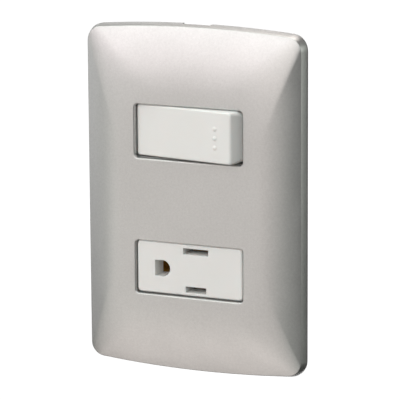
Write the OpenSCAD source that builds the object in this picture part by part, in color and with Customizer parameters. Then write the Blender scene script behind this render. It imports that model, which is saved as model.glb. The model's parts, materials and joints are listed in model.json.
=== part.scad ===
// Rocker switch and grounded socket on a three-module mounting frame, under one cover plate.
// X is right, Z is up and the front faces -Y. The wall's surface is at Y = 0, and a depth
// given as d is measured forwards from the wall, so parts inside the wall have a negative d.

/* [Cover plate] */
// Width of the cover plate
plate_w = 76.5; // [76:0.1:80]
// Height of the cover plate at its middle
plate_h = 115; // [114:0.5:120]
// How far the top and bottom edges bow outwards
plate_bow = 1.9; // [1:0.1:2.6]
// Corner radius of the cover plate
plate_corner_r = 5.4; // [4.5:0.1:8]
// Depth of the side wall, from the wall to the front crease
plate_edge_d = 4.2; // [3.9:0.1:4.6]
// Depth of the flat middle of the front
plate_front_d = 8.3; // [8.2:0.1:8.8]
// Thickness of the plate's walls
plate_wall = 2; // [1.8:0.1:2.1]
// Width of the pry notch in the top edge
notch_w = 9.8; // [6:0.1:12]

/* [Modules] */
// Height of one module position
module_pitch = 22.5; // [22.5:0.1:23]
// Clear width of the two openings in the cover plate
opening_w = 38; // [37.8:0.1:38.2]
// Clear height of the two openings in the cover plate
opening_h = 17.7; // [17.6:0.1:18]
// Gap above the rocker and above the socket face in their openings
top_gap = 0.1; // [0.1:0.05:0.3]
// Gap below the rocker in its opening
rocker_gap = 0.7; // [0.3:0.05:0.8]
// Gap below the socket face in its opening
face_gap = 0.5; // [0.3:0.05:0.6]
// Gap at the two ends of the socket face in its opening
end_gap = 0.4; // [0.2:0.05:0.5]
// Depth of the socket face
socket_face_d = 7.7; // [7.4:0.1:8]

/* [Mounting frame] */
// Distance between the two box screws
screw_spacing = 83.3; // [82:0.1:85]
// Diameter of the box screw holes
screw_hole = 4.2; // [3.8:0.1:4.6]
// Width of the mounting frame
frame_w = 56; // [54:0.5:57]
// Gap from each end of the mounting frame to the end of the cover plate
frame_end_gap = 5.5; // [4.5:0.1:7.5]
// Thickness of the mounting frame
frame_t = 2; // [2:0.1:2.2]

/* [Rocker] */
// Tilt of the rocker to each side of its middle
rocker_tilt = 8.5; // [7:0.5:8.5]
// Depth of the rocker's pivot
pivot_d = 1.5; // [1.4:0.1:1.6]
// Diameter of the rocker's pivot pins
pivot_pin = 3; // [2.6:0.1:3.2]
// Distance from the pivot to the rocker's face
rocker_face = 7.85; // [7.4:0.05:8]
// Tilt of the contact lever to each side of its middle
lever_tilt = 12; // [10:0.5:12]

/* [Contacts and terminals] */
// Distance between the two blade slots
blade_spacing = 12.7; // [12.5:0.1:12.9]
// Distance from the line between the blades to the ground pin
ground_offset = 11.9; // [11.8:0.1:12]
// Length of the neutral slot
neutral_slot = 8.9; // [8.4:0.1:9.2]
// Length of the line slot
line_slot = 7.4; // [7:0.1:7.8]
// Thickness of the terminal strips
strip_t = 1; // [0.9:0.1:1.1]
// Diameter of the terminal screws
terminal_screw_d = 3.5; // [3:0.1:3.6]

/* [Hidden] */
$fn = 48;
eps = 0.01;

silver_paint = [0.72, 0.71, 0.70];
white_plastic = [0.87, 0.87, 0.85];
grey_plastic = [0.35, 0.36, 0.37];
housing_grey = [0.62, 0.63, 0.64];
brass = [0.72, 0.55, 0.27];
steel = [0.66, 0.67, 0.69];
contact_silver = [0.85, 0.85, 0.86];
green_steel = [0.25, 0.50, 0.28];

// Module sizes that follow the pitch, the openings and the frame
run_fit = 0.05;
switch_z = module_pitch;
socket_z = -module_pitch;
module_h = module_pitch - 0.5;
collar_d = 5.1;
rocker_r = opening_w / 2 + 0.4;
collar_bore_w = 2 * (rocker_r + 0.6);
collar_bore_h = opening_h + 0.1;
skirt_w = collar_bore_w + 1.8;
skirt_h = module_pitch - 2.1;
skirt_end_d = -1;
window_fit = 0.3;
window_w = skirt_w + 2 * window_fit;
window_h = skirt_h + 2 * window_fit;
frame_h = plate_h - 2 * frame_end_gap;
ridge_t = 1.1;
ridge_x = frame_w / 2 - 0.1 - ridge_t / 2;
flange_share = 0.214;
module_w = window_w + flange_share * (2 * ridge_x - ridge_t - window_w);

// Rear sides of the modules
strip_d = -15.2;
base_w = 38.4;
base_wall = 1.2;
base_mid = 9.8;
base_mid_d = strip_d - 2;
base_end_d = strip_d - 6;
pocket_end = base_w / 2 - base_wall;
strip_end = pocket_end - 0.4;
strip_half = 3.9;
pad_half = 3.8;
terminal_x = pocket_end - pad_half;
socket_screw_z = 5;
clamp_t = 1;

// Blade pattern in the socket module
blade_x = 2.25;
ground_x = blade_x - ground_offset;
blade_z = blade_spacing / 2;
slot_h = 2.05;
ground_r = 2.75;
ground_flat = 2.65;
channel_end_d = 1.2;
blade_gap = 1.2;
ground_gap = 4.5;

// Lever and plunger
lever_y = 10;
lever_pin = 1.6;
lever_t = 0.8;
lever_front = 1.4;
lever_half = 9;
lever_w = 5.2;
lever_contact_x = -7.3;
rivet_r = 1.5;
rivet_h = 0.9;
shank_r = 0.8;
shank_stub = 0.2;
plunger_d = 3.6;
plunger_slack = 0.2;
plunger_len = pivot_d + lever_y - lever_front - plunger_slack;
plunger_top = 1;
spring_room = 4.6;

// Rocker outline
rocker_half_h = (opening_h - top_gap - rocker_gap) / 2;
rocker_lift = (rocker_gap - top_gap) / 2;
rocker_draft = 0.3;
rocker_skirt = 1.5;
rocker_front_r = 0.9;
rocker_base_r = 2;
rocker_edge_r = 0.6;
rocker_wall = 1.6;

// Outline helpers: rings are lists of [x, z] points that run anticlockwise seen from the front
function arc(c, r, from, to, n) =
    [for (i = [0:n]) let (a = from + (to - from) * i / n) [c[0] + r * cos(a), c[1] + r * sin(a)]];

function turned(ring) = [for (p = ring) [-p[0], -p[1]]];

function rounded_ring(a, b, r, n = 5) =
    let (top = concat(arc([a - r, b - r], r, 0, 90, n), arc([r - a, b - r], r, 90, 180, n)))
    concat(top, turned(top));

// A ring whose top and bottom are arcs that rise by bow at the middle
function bowed_ring(a, b, bow, r, n = 7, m = 14) =
    let (
        big = (a * a + bow * bow) / (2 * bow),
        low = b - big,
        side = a - r,
        high = low + sqrt(pow(big - r, 2) - side * side),
        turn = atan2(high - low, side),
        crown = arc([0, low], big, turn, 180 - turn, m),
        top = concat(
            arc([side, high], r, 0, turn, n),
            [for (i = [1:m - 1]) crown[i]],
            arc([-side, high], r, 180 - turn, 180, n))
    )
    concat(top, turned(top));

// One closed solid through a list of [ring, depth] pairs, from the back to the front
module loft(layers) {
    n = len(layers[0][0]);
    last = len(layers) - 1;
    points = [for (layer = layers) for (p = layer[0]) [p[0], -layer[1], p[1]]];
    sides = [for (k = [0:last - 1]) for (i = [0:n - 1])
        let (j = (i + 1) % n, a = k * n, b = (k + 1) * n)
        for (f = [[b + i, b + j, a + j], [b + i, a + j, a + i]]) f];
    back = [for (i = [0:n - 1]) i];
    front = [for (i = [n - 1:-1:0]) last * n + i];
    polyhedron(points, concat(sides, [back, front]), convexity = 6);
}

// A flat outline in X and Z, solid from depth d0 to the larger depth d1
module slab(d0, d1) {
    translate([0, -d0, 0]) rotate([90, 0, 0]) linear_extrude(d1 - d0) children();
}

module box_xz(w, h, r = 0) {
    if (r > 0)
        union() {
            square([w - 2 * r, h], center = true);
            square([w, h - 2 * r], center = true);
            for (x = [-1, 1], z = [-1, 1])
                translate([x * (w / 2 - r), z * (h / 2 - r)]) circle(r);
        }
    else
        square([w, h], center = true);
}

// A block given by its least and greatest corner
module block(low, high) {
    translate(low) cube(high - low);
}

// A round bar along Y, from y0 to y1
module bar_y(r, y0, y1) {
    translate([0, y0, 0]) rotate([-90, 0, 0]) cylinder(r = r, h = y1 - y0);
}

// Cover plate
crease_in = 1;
dome_in_x = 13.2;
dome_in_z = 24.4;
dome_steps = 10;
dome_corner = 16;
lip_r = 0.55;
opening_corner_r = 1.1;
notch_x = 0.3;
notch_d = 1.9;

function dome_rise(t) = (plate_front_d - plate_edge_d) * (1 - pow(1 - t, 2));

function plate_ring(in_x, in_z, bow, r) =
    bowed_ring(plate_w / 2 - in_x, plate_h / 2 - in_z, bow, r);

function dome_ring(t, extra) = plate_ring(
    crease_in + dome_in_x * t + extra * (1 - t),
    crease_in + dome_in_z * t + extra * (1 - t),
    plate_bow * (1 - t) + 0.05 * t,
    (plate_corner_r - crease_in - extra / 2) * (1 - t) + dome_corner * t);

module plate_outside() {
    rim = [[plate_ring(0, 0, plate_bow, plate_corner_r), 0],
           [plate_ring(0, 0, plate_bow, plate_corner_r), 1.5],
           [plate_ring(0.6, 0.6, plate_bow, plate_corner_r - 0.5), plate_edge_d - 0.6],
           [plate_ring(0.75, 0.75, plate_bow, plate_corner_r - 0.7), plate_edge_d - 0.2]];
    dome = [for (i = [0:dome_steps]) let (t = i / dome_steps)
        [dome_ring(t, 0), plate_edge_d + dome_rise(t)]];
    loft(concat(rim, dome));
}

module plate_inside() {
    rim = [[plate_ring(plate_wall, plate_wall, plate_bow, plate_corner_r - plate_wall), -1],
           [plate_ring(plate_wall, plate_wall, plate_bow, plate_corner_r - plate_wall), 1.6]];
    dome = [for (i = [0:dome_steps]) let (t = i / dome_steps)
        [dome_ring(t, plate_wall), plate_edge_d + dome_rise(t) - plate_wall]];
    loft(concat(rim, dome));
}

module opening_cut() {
    a = opening_w / 2;
    b = opening_h / 2;
    corner_r = opening_corner_r;
    flare = [for (i = [0:4]) let (t = i * 22.5, out = lip_r * (1 - cos(t)))
        [rounded_ring(a + out, b + out, corner_r + out), plate_front_d - lip_r * (1 - sin(t))]];
    loft(concat([[rounded_ring(a, b, corner_r), 1]], flare,
        [[rounded_ring(a + lip_r, b + lip_r, corner_r + lip_r), plate_front_d + 1]]));
}

// Clip tabs behind the plate, whose barbs catch the beads on the frame's ridges
tab_x = frame_w / 2 + 0.5;
tab_z = [-24, 24];
tab_w = 8;
tab_t = 1.2;
tab_end_d = frame_t + 0.2;
barb_end_d = frame_t + 0.4;
barb_d = 3.5;
barb = 0.45;

module plate_tabs() {
    for (s = [-1, 1], z = tab_z)
        translate([0, 0, z]) scale([s, 1, 1]) {
            block([tab_x, -plate_front_d, -tab_w / 2], [tab_x + tab_t, -tab_end_d, tab_w / 2]);
            block([tab_x - barb, -barb_d, -tab_w / 2], [tab_x + tab_t, -barb_end_d, tab_w / 2]);
        }
}

module wall_plate() {
    color(silver_paint)
    difference() {
        union() {
            difference() {
                plate_outside();
                plate_inside();
            }
            intersection() {
                plate_tabs();
                plate_outside();
            }
        }
        for (z = [switch_z, socket_z]) translate([0, 0, z]) opening_cut();
        translate([notch_x, 0, plate_h / 2])
            cube([notch_w, 2 * notch_d, 4 * plate_wall], center = true);
    }
}

// Mounting frame
frame_corner_r = 5;
ridge_d = 4.9;
ridge_h = 2 * module_pitch + 18;
bead = 0.4;
bead_t = 0.9;
rib_t = 1.2;
rib_d = 4.6;
rib_z = 1.5 * module_pitch + 1.2;
boss_r = 6;
boss_t = 0.8;
screw_head_r = 3.9;

// Ridge along one side of the frame, with the beads that hold the plate's tabs
module side_ridge() {
    translate([ridge_x, 0, 0])
        slab(frame_t - eps, ridge_d) square([ridge_t, ridge_h], center = true);
    for (z = tab_z)
        translate([ridge_x + ridge_t / 2, 0, z])
            slab(barb_d, barb_d + bead_t) square([2 * bead, tab_w + 2], center = true);
}

module mounting_frame() {
    color(grey_plastic)
    difference() {
        union() {
            slab(0, frame_t) box_xz(frame_w, frame_h, frame_corner_r);
            for (s = [-1, 1]) {
                scale([s, 1, 1]) side_ridge();
                translate([0, 0, s * rib_z])
                    slab(frame_t - eps, rib_d) square([module_w + 4, rib_t], center = true);
                slab(frame_t - eps, frame_t + boss_t)
                    intersection() {
                        translate([0, s * screw_spacing / 2]) circle(boss_r);
                        square([frame_w, frame_h], center = true);
                    }
            }
        }
        for (z = [-1, 0, 1])
            translate([0, 0, z * module_pitch])
                slab(-1, frame_t + 1) box_xz(window_w, window_h, 1);
        for (s = [-1, 1])
            translate([0, 0, s * screw_spacing / 2]) {
                bar_y(screw_hole / 2, -frame_t - 4, 1);
                bar_y(screw_head_r, -frame_t - 4, -frame_t);
            }
    }
}

// Front collar shared by both modules: flange, skirt, catch teeth and clip arms
arm_x = [-11.5, 11.5];
arm_w = 4;
arm_t = 0.95;
arm_end = 8;
hook = 0.4;
hook_len = 1.4;
skirt_r = 0.8;

module collar_shell() {
    tooth = window_fit + 0.5;
    slab(frame_t, collar_d) box_xz(module_w, module_h, 1.2);
    slab(skirt_end_d, frame_t + eps) box_xz(skirt_w, skirt_h, skirt_r);
    slab(skirt_end_d + 0.1, -0.1) square([skirt_w + 2 * tooth, 6], center = true);
    for (x = arm_x, s = [-1, 1])
        translate([x, 0, 0]) scale([1, 1, s]) {
            block([-arm_w / 2, -frame_t, skirt_h / 2 - arm_t], [arm_w / 2, arm_end, skirt_h / 2]);
            block([-arm_w / 2, arm_end - hook_len, skirt_h / 2 - arm_t - hook],
                  [arm_w / 2, arm_end, skirt_h / 2]);
        }
}

// Grooves in a module's base that take the clip arms and their hooks
module arm_grooves() {
    side = 0.15;
    groove_end = arm_end + 0.3;
    for (x = arm_x, s = [-1, 1])
        translate([x, 0, 0]) scale([1, 1, s]) {
            block([-arm_w / 2 - side, 0, skirt_h / 2 - arm_t - run_fit],
                  [arm_w / 2 + side, groove_end, skirt_h / 2 + 1]);
            block([-arm_w / 2 - side, arm_end - hook_len, skirt_h / 2 - arm_t - hook - run_fit],
                  [arm_w / 2 + side, groove_end, skirt_h / 2 + 1]);
        }
}

module switch_collar() {
    color(white_plastic)
    translate([0, 0, switch_z])
    difference() {
        collar_shell();
        slab(skirt_end_d - 1, collar_d + 1) box_xz(collar_bore_w, collar_bore_h, skirt_r);
        translate([0, -pivot_d, 0])
            cylinder(r = pivot_pin / 2 + run_fit, h = skirt_h - eps, center = true);
    }
}

// Outside of a module's base: flange, body and the two deeper terminal ends
module base_body() {
    end_w = base_w / 2 - base_mid;
    slab(skirt_end_d - 2, skirt_end_d) box_xz(skirt_w, skirt_h, skirt_r);
    slab(base_mid_d, skirt_end_d - 1) box_xz(base_w, skirt_h, skirt_r);
    for (s = [-1, 1])
        translate([s * (base_mid + end_w / 2), 0, 0])
            slab(base_end_d, skirt_end_d - 1) box_xz(end_w, skirt_h, skirt_r);
}

// A pocket in a base, from its front down to the seat of the terminal strips
module pocket(x0, x1, z0, z1) {
    block([x0, -3, z0], [x1, -strip_d, z1]);
}

// A well for a terminal screw, open to the rear, with an entry for the wire in the end wall
module screw_well(x, z, half_h) {
    half_w = 3.4;
    wire_half = 2.2;
    block([x - half_w, -strip_d - 0.5, z - half_h], [x + half_w, -base_end_d + 9, z + half_h]);
    translate([x, 0, z]) scale([sign(x), 1, 1])
        block([half_w - 1, -strip_d, -wire_half], [base_w, -strip_d + half_w, wire_half]);
}

module switch_base() {
    strip_room = strip_half + 0.3;
    mech_half = skirt_h / 2 - 2.2;
    well_half = 3.7;
    color(housing_grey)
    translate([0, 0, switch_z])
    difference() {
        base_body();
        pocket(-base_mid, base_mid, -mech_half, mech_half);
        pocket(-pocket_end, 0.3 - base_mid, -strip_room, strip_room);
        pocket(base_mid - 0.3, pocket_end, -strip_room, strip_room);
        for (s = [-1, 1]) screw_well(s * terminal_x, 0, well_half);
        arm_grooves();
    }
}

// Rocker, drawn round its pivot and then turned to its tilt
module at_rocker() {
    translate([0, -pivot_d, switch_z]) rotate([0, 0, -rocker_tilt]) children();
}

// The rocker's corner radius shrinks from its base to its face
function rocker_corner(h) =
    rocker_base_r + (rocker_front_r - rocker_base_r) * (h - rocker_skirt) / (rocker_face - rocker_skirt);

function rocker_ring(h, in) = rounded_ring(
    sqrt(rocker_r * rocker_r - h * h) - in,
    rocker_half_h - (h - rocker_skirt) * tan(rocker_draft) - in,
    rocker_corner(h) - 0.4 * in);

module rocker_cap(wall, base, face) {
    rise = wall > 0 ? 0.3 : rocker_edge_r;
    side = [for (i = [0:8]) let (h = base + (face - rise - base) * i / 8) [rocker_ring(h, wall), h]];
    edge = [for (i = [1:5]) let (t = i * 18, h = face - rise + rise * sin(t))
        [rocker_ring(h, wall + rise * (1 - cos(t))), h]];
    translate([0, 0, rocker_lift]) loft(concat(side, edge));
}

// Three low domes near the rocker's right end
dot_r = 0.85;
dot_h = 0.3;
dot_x = 11.9;
dot_pitch = 3.05;

module rocker_dots() {
    ball_r = (dot_r * dot_r + dot_h * dot_h) / (2 * dot_h);
    edge_a = asin(dot_r / ball_r);
    cap = arc([0, dot_h - ball_r], ball_r, 90 - edge_a, 90, 6);
    for (z = [-1, 0, 1])
        translate([dot_x, eps - rocker_face, z * dot_pitch])
            rotate([90, 0, 0]) rotate_extrude() polygon(concat([[0, 0]], cap));
}

module rocker() {
    hub_r = 3.4;
    hub_end = 5.5;
    cheek_half = 3;
    cheek_t = 1.35;
    pin_end = skirt_h / 2 - 0.1;
    color(white_plastic)
    at_rocker()
    difference() {
        union() {
            difference() {
                rocker_cap(0, rocker_skirt, rocker_face);
                rocker_cap(rocker_wall, rocker_skirt - 1, rocker_face - rocker_wall);
            }
            bar_y(hub_r, -rocker_face + 1, hub_end);
            for (s = [-1, 1]) {
                cheek_z = rocker_half_h + s * rocker_lift - rocker_wall - cheek_t;
                scale([1, 1, s]) translate([0, 0, cheek_z]) {
                    block([-cheek_half, -rocker_face + 1, 0], [cheek_half, 0, rocker_wall]);
                    cylinder(r = cheek_half, h = rocker_wall);
                    cylinder(r = pivot_pin / 2, h = pin_end - cheek_z);
                }
            }
            rocker_dots();
        }
        bar_y(plunger_d / 2 + run_fit, plunger_top - spring_room, hub_end + 0.5);
    }
}

module plunger() {
    tip_r = plunger_d / 2;
    color(grey_plastic)
    at_rocker() {
        bar_y(tip_r, plunger_top, plunger_len - tip_r);
        translate([0, plunger_len - tip_r, 0]) sphere(tip_r);
    }
}

// A helical wire along Y as one swept solid with flat ends
module coil(mean_r, wire_r, y0, y1, turns) {
    sides = 6;
    per_turn = 14;
    steps = per_turn * turns;
    points = [for (i = [0:steps]) for (j = [0:sides - 1])
        let (
            a = j * 360 / sides,
            turn = i * 360 / per_turn,
            r = mean_r + wire_r * cos(a)
        )
        [r * cos(turn), y0 + (y1 - y0) * i / steps + wire_r * sin(a), r * sin(turn)]];
    walls = [for (i = [0:steps - 1]) for (j = [0:sides - 1])
        let (k = (j + 1) % sides, a = i * sides, b = (i + 1) * sides)
        for (f = [[a + j, b + j, b + k], [a + j, b + k, a + k]]) f];
    first = [for (j = [0:sides - 1]) j];
    final = [for (j = [sides - 1:-1:0]) steps * sides + j];
    polyhedron(points, concat(walls, [first, final]), convexity = 8);
}

module plunger_spring() {
    wire_r = 0.25;
    color(steel)
    at_rocker()
        coil(1.35, wire_r, plunger_top - spring_room + wire_r, plunger_top - wire_r, 4);
}

// Contact lever, drawn round its own pivot and tilted the other way from the rocker
module at_lever() {
    translate([0, lever_y, switch_z]) rotate([0, 0, lever_tilt]) children();
}

module contact_lever() {
    rib = 1;
    color(brass)
    at_lever()
    difference() {
        union() {
            block([-lever_half, -lever_front, -lever_w / 2],
                  [lever_half, lever_t - lever_front, lever_w / 2]);
            block([-rib, -lever_front + 0.2, -lever_w / 2], [rib, 0, lever_w / 2]);
            cylinder(r = lever_pin / 2, h = 2 * strip_half, center = true);
        }
        translate([lever_contact_x, 0, 0]) bar_y(shank_r + run_fit, -3, 3);
    }
}

// A contact rivet whose domed head points to +Y from y = 0, with its shank to -Y
module rivet(head_r, head_h, shank_r, shank_len) {
    dome = [for (i = [0:5]) let (t = i * 18) [head_r * cos(t), head_h * (1 + sin(t)) / 2]];
    rotate([-90, 0, 0])
    rotate_extrude()
    polygon(concat([[0, -shank_len], [shank_r, -shank_len], [shank_r, 0], [head_r, 0]], dome));
}

module moving_contact() {
    color(contact_silver)
    at_lever()
        translate([lever_contact_x, lever_t - lever_front, 0])
            rivet(rivet_r, rivet_h, shank_r, lever_t + shank_stub);
}

fixed_x = -7.1;
fixed_seat = 12.85;

module fixed_contact() {
    color(contact_silver)
    translate([fixed_x, fixed_seat, switch_z])
        rotate([0, 0, 180]) rivet(rivet_r, rivet_h, shank_r, strip_t + shank_stub);
}

// Foot of a terminal strip at its seat, with the hole for the terminal screw
module strip_foot(x0, x1, z0, z1) {
    block([x0, -strip_d - strip_t, z0], [x1, -strip_d, z1]);
}

module thread_hole(x, z) {
    translate([x, 0, z])
        bar_y(terminal_screw_d / 2 + run_fit, -strip_d - 2 * strip_t, -strip_d + strip_t);
}

module common_terminal() {
    cheek = 0.8;
    post = 2.2;
    color(brass)
    translate([0, 0, switch_z])
    difference() {
        union() {
            strip_foot(-post - 0.3, strip_end, -strip_half, strip_half);
            for (s = [-1, 1]) scale([1, 1, s]) {
                block([-post, lever_y, strip_half - cheek], [post, -strip_d, strip_half]);
                translate([0, lever_y, strip_half - cheek]) cylinder(r = post, h = cheek);
            }
        }
        translate([0, lever_y, 0])
            cylinder(r = lever_pin / 2 + run_fit, h = 2 * strip_half + 1, center = true);
        thread_hole(terminal_x, 0);
    }
}

module switched_terminal() {
    step_x = fixed_x - 2.9;
    tongue_x = fixed_x + 2.2;
    half = lever_w / 2;
    color(brass)
    translate([0, 0, switch_z])
    difference() {
        union() {
            strip_foot(-strip_end, step_x + strip_t, -strip_half, strip_half);
            block([step_x, fixed_seat, -half], [step_x + strip_t, -strip_d, half]);
            block([step_x, fixed_seat, -half], [tongue_x, fixed_seat + strip_t, half]);
        }
        translate([fixed_x, 0, 0])
            bar_y(shank_r + run_fit, fixed_seat - 1, fixed_seat + strip_t + 0.3);
        thread_hole(-terminal_x, 0);
    }
}

// Terminal hardware: a clamp plate on the strip and a screw with a slotted pan head on it
module clamp_plate(x, z, w, h) {
    translate([x, -strip_d, z])
    difference() {
        block([-w / 2, 0, -h / 2], [w / 2, clamp_t, h / 2]);
        bar_y(terminal_screw_d / 2 + 2 * run_fit, -clamp_t, 2 * clamp_t);
    }
}

module terminal_screw(x, z) {
    head_r = 2.9;
    head_side = 1.15;
    head_round = 0.9;
    slot_w = 0.9;
    slot_d = 1.2;
    shank_end = -5.4;
    profile = concat([[0, 0], [head_r, 0]],
        arc([head_r - head_round, head_side], head_round, 0, 90, 6), [[0, head_side + head_round]]);
    translate([x, -strip_d + clamp_t, z])
    difference() {
        union() {
            bar_y(terminal_screw_d / 2, shank_end, 0.2);
            rotate([-90, 0, 0]) rotate_extrude() polygon(profile);
        }
        block([-slot_w / 2, slot_d, -head_r - 1], [slot_w / 2, 2 * head_r, head_r + 1]);
        block([-head_r + 1, slot_d, -slot_w / 2], [head_r - 1, 2 * head_r, slot_w / 2]);
    }
}

clamp_w = 6.4;
clamp_h = 6.8;
pair_clamp_h = 6.2;

module switch_clamp_plates() {
    color(steel)
    translate([0, 0, switch_z])
        for (s = [-1, 1]) clamp_plate(s * terminal_x, 0, clamp_w, clamp_h);
}

module switch_terminal_screws() {
    color(steel)
    translate([0, 0, switch_z])
        for (s = [-1, 1]) terminal_screw(s * terminal_x, 0);
}

// Socket face
module face_block() {
    a = opening_w / 2 - end_gap;
    b = (opening_h - top_gap - face_gap) / 2;
    edge_r = 0.65;
    corner_r = 1.2;
    edge = [for (i = [0:5]) let (t = i * 18, in = edge_r * (1 - cos(t)))
        [rounded_ring(a - in, b - in, corner_r - in / 2), socket_face_d - edge_r * (1 - sin(t))]];
    translate([0, 0, (face_gap - top_gap) / 2])
        loft(concat([[rounded_ring(a, b, corner_r), collar_d - 1]], edge));
}

module blade_slot_2d(length, extra) {
    square([length + 2 * extra, slot_h + 2 * extra], center = true);
}

// Hole for the ground pin: round to the right and flat to the left
module ground_hole_2d(extra) {
    intersection() {
        circle(ground_r + extra);
        translate([-ground_flat - extra, -5 - extra]) square([10 + 2 * extra, 10 + 2 * extra]);
    }
    translate([-ground_flat - extra, -ground_flat - extra])
        square([ground_flat + extra, 2 * (ground_flat + extra)]);
}

module socket_channels(extra) {
    translate([blade_x, blade_z]) blade_slot_2d(neutral_slot, extra);
    translate([blade_x, -blade_z]) blade_slot_2d(line_slot, extra);
    translate([ground_x, 0]) ground_hole_2d(extra);
}

module socket_face() {
    front_t = 2.2;
    channel_wall = 1.2;
    color(white_plastic)
    translate([0, 0, socket_z])
    difference() {
        union() {
            difference() {
                union() {
                    collar_shell();
                    face_block();
                }
                slab(skirt_end_d - 1, socket_face_d - front_t)
                    box_xz(opening_w - 3.4, opening_h - 2.4, skirt_r);
                slab(skirt_end_d - 1, frame_t) box_xz(collar_bore_w, collar_bore_h, skirt_r);
            }
            intersection() {
                slab(channel_end_d, socket_face_d - 1) socket_channels(channel_wall);
                slab(-2, socket_face_d) box_xz(opening_w - 2, opening_h - 0.2);
            }
        }
        slab(-3, socket_face_d + 1) socket_channels(0);
    }
}

module socket_base() {
    color(housing_grey)
    translate([0, 0, socket_z])
    difference() {
        base_body();
        for (s = [-1, 1]) scale([1, 1, s]) {
            pocket(blade_x - 5.45, blade_x + 5.95, blade_z - 2.55, blade_z + 2.65);
            pocket(blade_x + 5.85, pocket_end, socket_screw_z - 3.6, socket_screw_z + 3.5);
        }
        pocket(-pocket_end, ground_x + 4.25, -strip_half - 0.3, strip_half + 0.3);
        for (s = [-1, 1]) screw_well(terminal_x, s * socket_screw_z, 3.3);
        screw_well(-terminal_x, 0, 3.7);
        arm_grooves();
    }
}

// Two sprung leaves that grip a pin, as seen along X, with flared lips at the front
leaf_start = 0.3 - channel_end_d;
leaf_grip = 3.4;
leaf_bend = 5.5;

module leaves(half_gap, grip, t, x0, x1) {
    back = -strip_d - strip_t / 2;
    inner = [[back, half_gap], [leaf_bend, half_gap], [leaf_grip, grip],
             [leaf_start, half_gap + 0.25]];
    profile = concat(inner, [for (i = [3:-1:0]) inner[i] + [0, t]]);
    for (s = [-1, 1])
        translate([x0, 0, 0]) scale([1, 1, s])
            rotate([90, 0, 90]) linear_extrude(x1 - x0) polygon(profile);
}

module blade_contact(length) {
    t = 0.6;
    half = 0.95;
    pad_x = terminal_x - pad_half;
    pad_z = 3.2;
    difference() {
        union() {
            translate([blade_x, 0, blade_z])
                leaves(half, blade_gap / 2, t, -length / 2, length / 2);
            strip_foot(blade_x - length / 2, pad_x + 0.2, blade_z - half - t, blade_z + half + t);
            strip_foot(pad_x, strip_end, socket_screw_z - pad_z, socket_screw_z + pad_z);
        }
        thread_hole(terminal_x, socket_screw_z);
    }
}

module neutral_contact() {
    color(brass)
    translate([0, 0, socket_z]) blade_contact(neutral_slot - 0.5);
}

module line_contact() {
    color(brass)
    translate([0, 0, socket_z]) scale([1, 1, -1]) blade_contact(line_slot - 0.3);
}

module ground_contact() {
    t = 0.6;
    half = 2.5;
    web_x = ground_x - ground_flat;
    web_end = 9.5;
    pad_z = 3.5;
    color(brass)
    translate([0, 0, socket_z])
    difference() {
        union() {
            translate([ground_x, 0, 0])
                leaves(half, ground_gap / 2, t, -ground_flat - t / 2, ground_flat);
            block([web_x - t, leaf_start, -half - t], [web_x, web_end, half + t]);
            strip_foot(-strip_end, ground_x + ground_flat + t, -half - t, half + t);
            strip_foot(-strip_end, pad_half - terminal_x, -pad_z, pad_z);
        }
        thread_hole(-terminal_x, 0);
    }
}

module socket_clamp_plates() {
    color(steel)
    translate([0, 0, socket_z]) {
        for (s = [-1, 1]) clamp_plate(terminal_x, s * socket_screw_z, clamp_w, pair_clamp_h);
        clamp_plate(-terminal_x, 0, clamp_w, clamp_h);
    }
}

module neutral_screw() {
    color(steel)
    translate([0, 0, socket_z]) terminal_screw(terminal_x, socket_screw_z);
}

module line_screw() {
    color(brass)
    translate([0, 0, socket_z]) terminal_screw(terminal_x, -socket_screw_z);
}

module ground_screw() {
    color(green_steel)
    translate([0, 0, socket_z]) terminal_screw(-terminal_x, 0);
}

wall_plate();
mounting_frame();
switch_collar();
switch_base();
rocker();
plunger();
plunger_spring();
contact_lever();
moving_contact();
fixed_contact();
common_terminal();
switched_terminal();
switch_clamp_plates();
switch_terminal_screws();
socket_face();
socket_base();
neutral_contact();
line_contact();
ground_contact();
socket_clamp_plates();
neutral_screw();
line_screw();
ground_screw();
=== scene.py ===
import json
import math

import bpy
from mathutils import Matrix, Vector


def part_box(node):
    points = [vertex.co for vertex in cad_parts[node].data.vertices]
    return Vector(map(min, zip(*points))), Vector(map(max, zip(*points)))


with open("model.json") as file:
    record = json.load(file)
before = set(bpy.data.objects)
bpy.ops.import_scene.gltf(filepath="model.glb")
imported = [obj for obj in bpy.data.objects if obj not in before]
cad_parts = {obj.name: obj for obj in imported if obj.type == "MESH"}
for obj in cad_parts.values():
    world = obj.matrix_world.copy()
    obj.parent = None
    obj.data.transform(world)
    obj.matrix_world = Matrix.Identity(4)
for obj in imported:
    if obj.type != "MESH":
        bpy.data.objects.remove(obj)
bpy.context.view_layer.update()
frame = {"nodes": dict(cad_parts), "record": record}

MM = 0.001


def direction(azimuth, elevation):
    """Unit vector from the part towards an azimuth and elevation in degrees."""
    turn, rise = math.radians(azimuth), math.radians(elevation)
    return Vector((
        math.sin(turn) * math.cos(rise),
        -math.cos(turn) * math.cos(rise),
        math.sin(rise),
    ))


# Camera of the photograph: where it looks from, in degrees and millimetres
CAMERA_AZIMUTH = 24.2
CAMERA_ELEVATION = 12.02
CAMERA_ROLL = -0.36
CAMERA_DISTANCE = 908
CAMERA_TARGET = (0.46, 0, -0.45)
FOCAL_PIXELS = 2794
FRAME_PIXELS = 400
SENSOR_MM = 36


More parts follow.
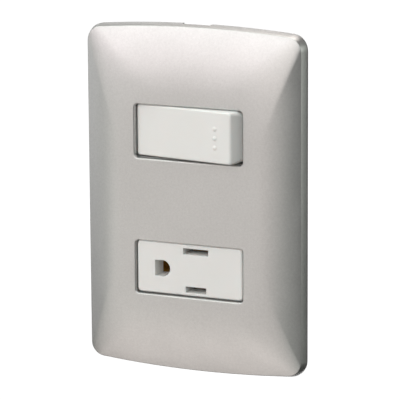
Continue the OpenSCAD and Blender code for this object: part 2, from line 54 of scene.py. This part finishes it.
def make_camera():
    data = bpy.data.cameras.new("camera")
    data.sensor_width = SENSOR_MM
    data.lens = FOCAL_PIXELS * SENSOR_MM / FRAME_PIXELS
    data.clip_start = 0.05
    data.clip_end = 50
    camera = bpy.data.objects.new("camera", data)
    bpy.context.scene.collection.objects.link(camera)
    azimuth = math.radians(CAMERA_AZIMUTH)
    roll = math.radians(CAMERA_ROLL)
    back = direction(CAMERA_AZIMUTH, CAMERA_ELEVATION)
    level = Vector((math.cos(azimuth), math.sin(azimuth), 0))
    upright = back.cross(level)
    right = level * math.cos(roll) + upright * math.sin(roll)
    up = upright * math.cos(roll) - level * math.sin(roll)
    turn = Matrix((right, up, back)).transposed().to_4x4()
    place = Vector(CAMERA_TARGET) * MM + back * CAMERA_DISTANCE * MM
    camera.matrix_world = Matrix.Translation(place) @ turn
    bpy.context.scene.camera = camera


# Pale room, in metres: its floor, walls and ceiling are far from the part on every side
ROOM_REACH = 3.2
ROOM_FLOOR = -1.5
ROOM_CEILING = 3.2
AMBIENT_STRENGTH = 0.01


def make_world():
    world = bpy.data.worlds.new("studio")
    bpy.context.scene.world = world
    world.use_nodes = True
    background = world.node_tree.nodes["Background"]
    background.inputs["Color"].default_value = (1, 1, 1, 1)
    background.inputs["Strength"].default_value = AMBIENT_STRENGTH


def make_floor():
    """White floor, walls and ceiling, which cast no light, reflection or shadow on the part."""
    mesh = bpy.data.meshes.new("floor")
    square = ((-ROOM_REACH, -ROOM_REACH), (ROOM_REACH, -ROOM_REACH),
              (ROOM_REACH, ROOM_REACH), (-ROOM_REACH, ROOM_REACH))
    corners = [(x, y, z) for z in (ROOM_FLOOR, ROOM_CEILING) for x, y in square]
    ground, ceiling = (0, 1, 2, 3), (7, 6, 5, 4)
    walls = [(1, 0, 4, 5), (2, 1, 5, 6), (3, 2, 6, 7), (0, 3, 7, 4)]
    mesh.from_pydata(corners, [], [ground, ceiling, *walls])
    floor = bpy.data.objects.new("floor", mesh)
    bpy.context.scene.collection.objects.link(floor)
    material = bpy.data.materials.new("floor_white")
    material.use_nodes = True
    shader = material.node_tree.nodes["Principled BSDF"]
    shader.inputs["Base Color"].default_value = (0.9, 0.9, 0.9, 1)
    shader.inputs["Emission Color"].default_value = (1, 1, 1, 1)
    shader.inputs["Emission Strength"].default_value = 1.0
    mesh.materials.append(material)
    floor.visible_diffuse = False
    floor.visible_glossy = False
    floor.visible_shadow = False


# Light colours, close to white
WHITE = (1, 1, 1)
WARM = (1, 0.92, 0.88)
PINK = (1, 0.89, 0.92)
COOL = (0.87, 0.98, 1)
GREEN = (0.87, 1, 0.88)
PALE_GREEN = (0.95, 1, 0.93)

# Softboxes: azimuth and elevation in degrees, power in watts and colour
SOFTBOXES = {
    "front": (0, 15, 3.1, WARM),
    "front_upper": (5, 36, 0.7, COOL),
    "left_front_upper": (-35, 25, 3.2, PINK),
    "left_front_low": (-45, -10, 1.1, PALE_GREEN),
    "upper_left": (-20, 40, 0.9, COOL),
    "high_left": (-50, 50, 2.1, GREEN),
    "left_low": (-25, -28, 1.3, WARM),
    "left_lowest": (-25, -50, 1.9, WARM),
    "left_side": (-85, 5, 1.9, WHITE),
    "left_side_high": (-95, 40, 0.9, GREEN),
    "right_upper": (25, 30, 1.0, COOL),
    "right_high": (45, 40, 2.0, WHITE),
    "right_low": (22, -32, 1.0, PALE_GREEN),
    "right_side": (107, 10, 3.0, PALE_GREEN),
    "top": (0, 88, 5.2, WHITE),
    "top_behind": (180, 68, 5.1, WARM),
    "behind": (-158, 12, 2.5, WHITE),
    "behind_low": (-165, -22, 3.5, WHITE),
}
SOFTBOX_SIZE = 0.8
SOFTBOX_DISTANCE = 1.2


def make_lights():
    """Square softboxes at one distance, all turned towards the part."""
    for name, (azimuth, elevation, power, colour) in SOFTBOXES.items():
        data = bpy.data.lights.new(name, "AREA")
        data.shape = "SQUARE"
        data.size = SOFTBOX_SIZE
        data.energy = power
        data.color = colour
        light = bpy.data.objects.new(name, data)
        way = direction(azimuth, elevation)
        light.location = way * SOFTBOX_DISTANCE
        light.rotation_mode = "QUATERNION"
        light.rotation_quaternion = (-way).to_track_quat("-Z", "Y")
        bpy.context.scene.collection.objects.link(light)


# Materials
class Recipe:
    """One material and its node helpers. Lengths are in millimetres, on the part's own axes."""

    def __init__(self, name):
        self.material = bpy.data.materials.new(name)
        self.material.use_nodes = True
        self.tree = self.material.node_tree
        self.shader = self.tree.nodes["Principled BSDF"]
        object_place = self.add("ShaderNodeTexCoord").outputs["Object"]
        self.place = self.vector("SCALE", object_place, scale=1 / MM)
        axes = self.add("ShaderNodeSeparateXYZ")
        self.tree.links.new(self.place, axes.inputs[0])
        self.x, self.y, self.z = axes.outputs

    def add(self, kind):
        return self.tree.nodes.new(kind)

    def feed(self, socket, value):
        """Link a node's output to a socket, or set a plain value on it."""
        if isinstance(value, bpy.types.NodeSocket):
            self.tree.links.new(value, socket)
        else:
            socket.default_value = value

    def vector(self, operation, value, other=None, scale=None):
        node = self.add("ShaderNodeVectorMath")
        node.operation = operation
        self.feed(node.inputs[0], value)
        if other is not None:
            self.feed(node.inputs[1], other)
        if scale is not None:
            self.feed(node.inputs["Scale"], scale)
        return node.outputs["Vector"]

    def math(self, operation, *values):
        node = self.add("ShaderNodeMath")
        node.operation = operation
        for socket, value in zip(node.inputs, values):
            self.feed(socket, value)
        return node.outputs[0]

    def noise(self, size, detail=3.0, roughness=0.55, stretch=(1, 1, 1)):
        """Noise with features of about this size, drawn out along the axes with a stretch."""
        node = self.add("ShaderNodeTexNoise")
        node.inputs["Scale"].default_value = 1 / size
        node.inputs["Detail"].default_value = detail
        node.inputs["Roughness"].default_value = roughness
        squeeze = tuple(1 / factor for factor in stretch)
        self.feed(node.inputs["Vector"], self.vector("MULTIPLY", self.place, squeeze))
        return node.outputs["Fac"]

    def flakes(self, size):
        """A random value for each cell of this size."""
        node = self.add("ShaderNodeTexVoronoi")
        node.inputs["Scale"].default_value = 1 / size
        self.feed(node.inputs["Vector"], self.place)
        grey = self.add("ShaderNodeRGBToBW")
        self.feed(grey.inputs[0], node.outputs["Color"])
        return grey.outputs[0]

    def spread(self, value, low, high, first=0.3, last=0.7):
        """The value's range from first to last, spread over low to high."""
        node = self.add("ShaderNodeMapRange")
        for key, number in (("From Min", first), ("From Max", last), ("To Min", low),
                            ("To Max", high)):
            node.inputs[key].default_value = number
        self.feed(node.inputs["Value"], value)
        return node.outputs["Result"]

    def blend(self, first, second, share):
        """Two values added, the first one by this share and the second one by the rest."""
        return self.math("ADD", self.math("MULTIPLY", first, share),
                         self.math("MULTIPLY", second, 1 - share))

    def mix(self, factor, first, last):
        node = self.add("ShaderNodeMix")
        node.data_type = "RGBA"
        self.feed(node.inputs["Factor"], factor)
        for key, colour in (("A", first), ("B", last)):
            self.feed(node.inputs[key], colour if isinstance(colour, bpy.types.NodeSocket)
                      else (*colour, 1))
        return node.outputs["Result"]

    def bump(self, value, depth, below=None):
        """Relief of this depth, on top of another relief where one is given."""
        node = self.add("ShaderNodeBump")
        node.inputs["Distance"].default_value = depth * MM
        node.inputs["Strength"].default_value = 1.0
        self.feed(node.inputs["Height"], value)
        if below is not None:
            self.feed(node.inputs["Normal"], below)
        return node.outputs["Normal"]

    def finish(self, **inputs):
        for key, value in inputs.items():
            self.feed(self.shader.inputs[key.replace("_", " ")], value)
        return self.material


# Sizes of the features in each finish are in millimetres
PAINT_CLOUD = 28
PAINT_MOTTLE = 0.75
PAINT_FLAKE = 0.11
PAINT_PEEL = 1.9
PAINT_SHEEN = 9


def silver_paint():
    """Metallic paint over moulded plastic, with fine flake and a slight orange peel."""
    paint = Recipe("silver_plate")
    cloud = paint.mix(paint.spread(paint.noise(PAINT_CLOUD, detail=4), 0, 1),
                      (0.575, 0.575, 0.565), (0.605, 0.605, 0.595))
    mottle = paint.spread(paint.noise(PAINT_MOTTLE, detail=2), 0.955, 1.045)
    flake = paint.flakes(PAINT_FLAKE)
    tone = paint.mix(paint.spread(flake, 0, 0.3, first=0, last=1),
                     paint.vector("SCALE", cloud, scale=mottle), (0.85, 0.85, 0.85))
    peel = paint.bump(paint.noise(PAINT_PEEL, detail=2), depth=0.004)
    grain = paint.bump(paint.spread(flake, 0, 1, first=0, last=1), depth=0.0025, below=peel)
    rough = paint.spread(paint.noise(PAINT_SHEEN), 0.41, 0.45)
    return paint.finish(Base_Color=tone, Metallic=0.9, Roughness=rough, Normal=grain,
                        Coat_Weight=0.15, Coat_Roughness=0.32)


MOULDING_CLOUD = 24
MOULDING_FLOW = 7
MOULDING_SHEEN = 0.6


def moulding(name, dark, light, rough, grain, depth):
    """Moulded plastic in close tones, with a spark-eroded grain and faint flow marks along X."""
    plastic = Recipe(name)
    flow = plastic.noise(MOULDING_FLOW, stretch=(6, 1, 1))
    tone = plastic.mix(plastic.spread(plastic.noise(MOULDING_CLOUD, detail=4), 0, 1), dark, light)
    marks = plastic.bump(flow, depth=0.6 * depth)
    skin = plastic.bump(plastic.noise(grain, detail=2), depth=depth, below=marks)
    gloss = plastic.spread(plastic.blend(flow, plastic.noise(MOULDING_SHEEN), share=0.5), *rough)
    return plastic.finish(Base_Color=tone, Roughness=gloss, Normal=skin)


def white_moulding(name, depth):
    """White moulding in which light spreads about this far."""
    material = moulding(name, (0.86, 0.865, 0.845), (0.885, 0.885, 0.87), rough=(0.34, 0.42),
                        grain=0.22, depth=0.0022)
    shader = material.node_tree.nodes["Principled BSDF"]
    shader.inputs["Subsurface Weight"].default_value = 1.0
    shader.inputs["Subsurface Radius"].default_value = (1.0, 0.92, 0.9)
    shader.inputs["Subsurface Scale"].default_value = depth * MM
    return material


ROLLING_LINE = 0.12
TARNISH_PATCH = 2.6
STAMPED_DENT = 1.4


def stamped(name, dark, light, tarnish, rough, metallic=1.0):
    """Rolled and stamped metal: rolling lines along X, a little tarnish and small dents."""
    metal = Recipe(name)
    lines = metal.noise(ROLLING_LINE, detail=2, stretch=(40, 1, 1))
    cloud = metal.noise(TARNISH_PATCH, detail=4, roughness=0.62)
    clean = metal.mix(metal.spread(lines, 0, 1), dark, light)
    tone = metal.mix(metal.spread(cloud, 0, 0.75, first=0.5, last=0.75), clean, tarnish)
    dents = metal.bump(metal.noise(STAMPED_DENT), depth=0.01)
    skin = metal.bump(lines, depth=0.004, below=dents)
    gloss = metal.spread(metal.blend(cloud, lines, share=0.7), *rough)
    return metal.finish(Base_Color=tone, Metallic=metallic, Roughness=gloss, Normal=skin)


TURNED_RING = 0.16
TURNED_CLOUD = 1.2
TURNED_DENT = 0.5
THREAD_PITCH = 0.6
THREAD_RADIUS = 1.77
# Darkness of the painted shade in the thread's roots, as a share of the dark tone
THREAD_SHADE = 0.25


def turned(name, dark, light, centre, rough, metallic=1.0):
    """Turned screw: fine rings round its axis along Y, and a thread on its shank, drawn as a bump
    with painted shade in its roots.

    The axis is at the centre's place in X and Z, and the same distance out on the other side.
    """
    metal = Recipe(name)
    across = metal.math("SUBTRACT", metal.math("ABSOLUTE", metal.x), abs(centre[0]))
    up = metal.math("SUBTRACT", metal.z, centre[1])
    reach = metal.math("SQRT", metal.math("ADD", metal.math("MULTIPLY", across, across),
                                          metal.math("MULTIPLY", up, up)))
    rings = metal.math("SINE", metal.math("MULTIPLY", reach, 2 * math.pi / TURNED_RING))
    cloud = metal.noise(TURNED_CLOUD, detail=4, roughness=0.6)
    dents = metal.bump(metal.noise(TURNED_DENT), depth=0.006)
    face = metal.bump(metal.spread(rings, 0, 1, first=-1, last=1), depth=0.003, below=dents)
    along = metal.math("MULTIPLY", metal.y, 2 * math.pi / THREAD_PITCH)
    wave = metal.math("SINE", metal.math("ADD", along, metal.math("ARCTAN2", up, across)))
    on_shank = metal.math("LESS_THAN", reach, THREAD_RADIUS)
    ridge = metal.math("MULTIPLY", metal.spread(wave, 0, 1, first=-1, last=1), on_shank)
    skin = metal.bump(ridge, depth=0.45 * THREAD_PITCH, below=face)
    # Painted shade: the colour darkens towards the roots of the thread, whose grooves are only a
    # bump
    painted_root_shade = metal.math("MULTIPLY", metal.spread(wave, 0.55, 0, first=-1, last=0.2), on_shank)
    tone = metal.mix(painted_root_shade, metal.mix(metal.spread(cloud, 0, 1), dark, light),
                     tuple(THREAD_SHADE * part for part in dark))
    gloss = metal.spread(cloud, *rough)
    return metal.finish(Base_Color=tone, Metallic=metallic, Roughness=gloss, Normal=skin)


def centre_of(name):
    """Middle of a node in X and Z, in millimetres."""
    node_low, node_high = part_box(name)
    return ((node_low[0] + node_high[0]) / 2 / MM, (node_low[2] + node_high[2]) / 2 / MM)


def switch_screw_centre():
    """Axis of the right one of the two switch screws, which share a node, in millimetres."""
    pair_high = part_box("switch_terminal_screws")[1]
    single_low, single_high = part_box("neutral_screw")
    head_radius = (single_high[0] - single_low[0]) / 2
    return ((pair_high[0] - head_radius) / MM, centre_of("switch_terminal_screws")[1])


ZINC = ((0.47, 0.48, 0.50), (0.60, 0.61, 0.62))


def make_materials():
    """Materials by slot, and those of single nodes."""
    by_slot = {
        "silver_plate": silver_paint(),
        "white_moulding": white_moulding("white_moulding", 0.25),
        "frame_plastic": moulding("frame_plastic", (0.045, 0.047, 0.05), (0.062, 0.064, 0.068),
                                  rough=(0.46, 0.60), grain=0.35, depth=0.008),
        "housing_plastic": moulding("housing_plastic", (0.33, 0.34, 0.35), (0.38, 0.39, 0.40),
                                    rough=(0.42, 0.55), grain=0.35, depth=0.008),
        "plunger_plastic": moulding("plunger_plastic", (0.02, 0.02, 0.022), (0.03, 0.03, 0.032),
                                    rough=(0.28, 0.40), grain=0.3, depth=0.002),
        "spring_steel": stamped("spring_steel", (0.40, 0.41, 0.43), (0.54, 0.55, 0.57),
                                tarnish=(0.30, 0.28, 0.26), rough=(0.22, 0.34)),
        "brass_strip": stamped("brass_strip", (0.66, 0.38, 0.07), (0.76, 0.46, 0.10),
                               tarnish=(0.42, 0.20, 0.03), rough=(0.30, 0.50), metallic=0.7),
        "contact_silver": stamped("contact_silver", (0.70, 0.70, 0.71), (0.80, 0.80, 0.81),
                                  tarnish=(0.55, 0.51, 0.45), rough=(0.14, 0.28)),
        "zinc_steel": stamped("zinc_steel", *ZINC, tarnish=(0.42, 0.40, 0.34),
                              rough=(0.24, 0.38)),
        "brass_screw": turned("brass_screw", (0.56, 0.38, 0.12), (0.68, 0.47, 0.18),
                              centre_of("line_screw"), rough=(0.22, 0.36)),
        "green_screw": turned("green_screw", (0.025, 0.11, 0.04), (0.045, 0.16, 0.06),
                              centre_of("ground_screw"), rough=(0.25, 0.38), metallic=0.6),
    }
    by_node = {
        "socket_face": white_moulding("white_socket", 1.0),
        "switch_terminal_screws": turned("zinc_switch_screws", *ZINC, switch_screw_centre(),
                                         rough=(0.22, 0.36)),
        "neutral_screw": turned("zinc_neutral_screw", *ZINC, centre_of("neutral_screw"),
                                rough=(0.22, 0.36)),
    }
    return by_slot, by_node


# Dressing of the solids, in degrees and millimetres: fine rounding of sharp edges, smooth
# shading and a material
SMOOTH_ANGLE = 30
WELD_DISTANCE = 0.002
ROUNDING_ANGLE = 50
ROUNDING_SEGMENTS = 2
COMMON_ROUNDING = 0.1
EDGE_ROUNDING = {
    "wall_plate": 0.12, "rocker": 0.12, "switch_clamp_plates": 0.12, "socket_clamp_plates": 0.12,
    "mounting_frame": 0.25, "switch_base": 0.25, "socket_base": 0.25, "switch_collar": 0.2,
    "socket_face": 0.3, "moving_contact": 0.08, "fixed_contact": 0.08, "plunger": 0,
    "plunger_spring": 0,
}
# How far large faces lead the shading: less on the plate, whose dome blends from face to face
COMMON_NORMAL_WEIGHT = 100
NORMAL_WEIGHT = {"wall_plate": 50}


def smooth_group():
    """Node group that shades smooth, apart from edges sharper than the smooth angle."""
    group = bpy.data.node_groups.new("smooth_by_angle", "GeometryNodeTree")
    group.interface.new_socket("Geometry", in_out="INPUT", socket_type="NodeSocketGeometry")
    group.interface.new_socket("Geometry", in_out="OUTPUT", socket_type="NodeSocketGeometry")
    start = group.nodes.new("NodeGroupInput")
    end = group.nodes.new("NodeGroupOutput")
    faces = group.nodes.new("GeometryNodeSetShadeSmooth")
    edges = group.nodes.new("GeometryNodeSetShadeSmooth")
    edges.domain = "EDGE"
    edges.inputs["Shade Smooth"].default_value = False
    angle = group.nodes.new("GeometryNodeInputMeshEdgeAngle")
    sharp = group.nodes.new("FunctionNodeCompare")
    sharp.operation = "GREATER_THAN"
    sharp.inputs["B"].default_value = math.radians(SMOOTH_ANGLE)
    group.links.new(start.outputs[0], faces.inputs["Geometry"])
    group.links.new(faces.outputs["Geometry"], edges.inputs["Geometry"])
    group.links.new(angle.outputs["Unsigned Angle"], sharp.inputs["A"])
    group.links.new(sharp.outputs["Result"], edges.inputs["Selection"])
    group.links.new(edges.outputs["Geometry"], end.inputs[0])
    return group


def dress_nodes(by_slot, by_node):
    smooth = smooth_group()
    slots = {part["node"]: part["material_slot"] for part in frame["record"]["subparts"]}
    for name, node in frame["nodes"].items():
        if "custom_normal" in node.data.attributes:
            node.data.attributes.remove(node.data.attributes["custom_normal"])
        weld = node.modifiers.new("weld", "WELD")
        weld.merge_threshold = WELD_DISTANCE * MM
        radius = EDGE_ROUNDING.get(name, COMMON_ROUNDING)
        if radius > 0:
            rounding = node.modifiers.new("edges", "BEVEL")
            rounding.width = radius * MM
            rounding.segments = ROUNDING_SEGMENTS
            rounding.limit_method = "ANGLE"
            rounding.angle_limit = math.radians(ROUNDING_ANGLE)
        shading = node.modifiers.new("shading", "NODES")
        shading.node_group = smooth
        normals = node.modifiers.new("normals", "WEIGHTED_NORMAL")
        normals.keep_sharp = True
        normals.weight = NORMAL_WEIGHT.get(name, COMMON_NORMAL_WEIGHT)
        node.data.materials.clear()
        node.data.materials.append(by_node.get(name, by_slot[slots[name]]))


make_camera()
make_world()
make_floor()
make_lights()
bpy.context.scene.view_settings.view_transform = "Standard"
dress_nodes(*make_materials())
